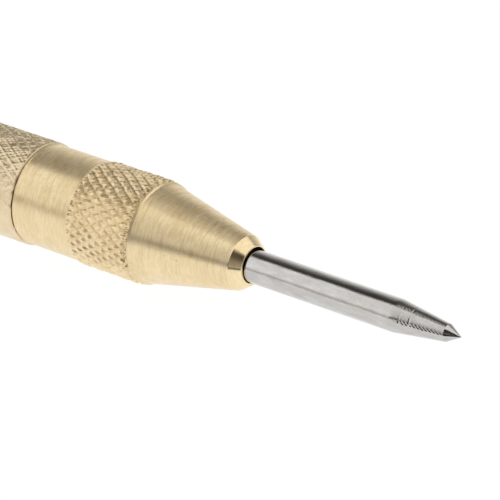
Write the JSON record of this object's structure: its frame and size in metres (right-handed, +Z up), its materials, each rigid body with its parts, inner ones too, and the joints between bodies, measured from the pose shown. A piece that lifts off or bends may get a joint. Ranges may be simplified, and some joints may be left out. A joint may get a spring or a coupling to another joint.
{
  "type": "automatic center punch",
  "caption": "Spring-loaded automatic centre punch: a turned, knurled brass body with a screw-on adjusting cap and a sliding hardened steel point with a conical tip.",
  "frame": {"origin": "middle of the tool's length, on the surface that the tool lies on, straight below its axis", "axes": "+X along the tool's axis towards the point's tip, +Z up"},
  "size_m": [0.128, 0.013, 0.013],
  "materials": {
    "turned_brass": "fine turned and knurled, satin",
    "hardened_steel": "ground, semi-bright",
    "works_steel": "turned and oiled",
    "spring_steel": "drawn wire"
  },
  "bodies": {
    "body": {"barrel": "turned_brass", "nose_cone": "turned_brass", "return_spring": "spring_steel"},
    "point": {"punch_point": "hardened_steel"},
    "trip": {"trip_pin": "works_steel"},
    "hammer": {"hammer": "works_steel"},
    "seat": {"spring_seat": "works_steel", "main_spring": "spring_steel"},
    "cap": {"adjusting_cap": "turned_brass"}
  },
  "joints": [
    {"name": "punch_slide", "type": "slide", "parent": "body", "child": "point", "axis": [-1, 0, 0], "range_m": [0, 0.01], "stiffness_N_per_m": 1000, "springref_m": -0.003, "deforming": ["return_spring"]},
    {"name": "trip_pin_tilt", "type": "hinge", "parent": "point", "child": "trip", "pos_m": [0.0198, 0, 0.0065], "axis": [0, 1, 0], "range_deg": [-1.76, 0]},
    {"name": "hammer_slide", "type": "slide", "parent": "body", "child": "hammer", "axis": [-1, 0, 0], "range_m": [0, 0.01], "deforming": ["main_spring"]},
    {"name": "cap_feed", "type": "slide", "parent": "body", "child": "seat", "axis": [1, 0, 0], "range_m": [-0.004, 0]},
    {"name": "cap_turn", "type": "hinge", "parent": "seat", "child": "cap", "pos_m": [-0.0477, 0, 0.0065], "axis": [1, 0, 0], "range_deg": [-1440, 0]}
  ],
  "couplings": [
    {"joint": "trip_pin_tilt", "follows": "punch_slide", "rad_per_m": -3.0543},
    {"joint": "hammer_slide", "follows": "punch_slide", "ratio": 1},
    {"joint": "cap_feed", "follows": "cap_turn", "m_per_rad": 0.00015915}
  ]
}
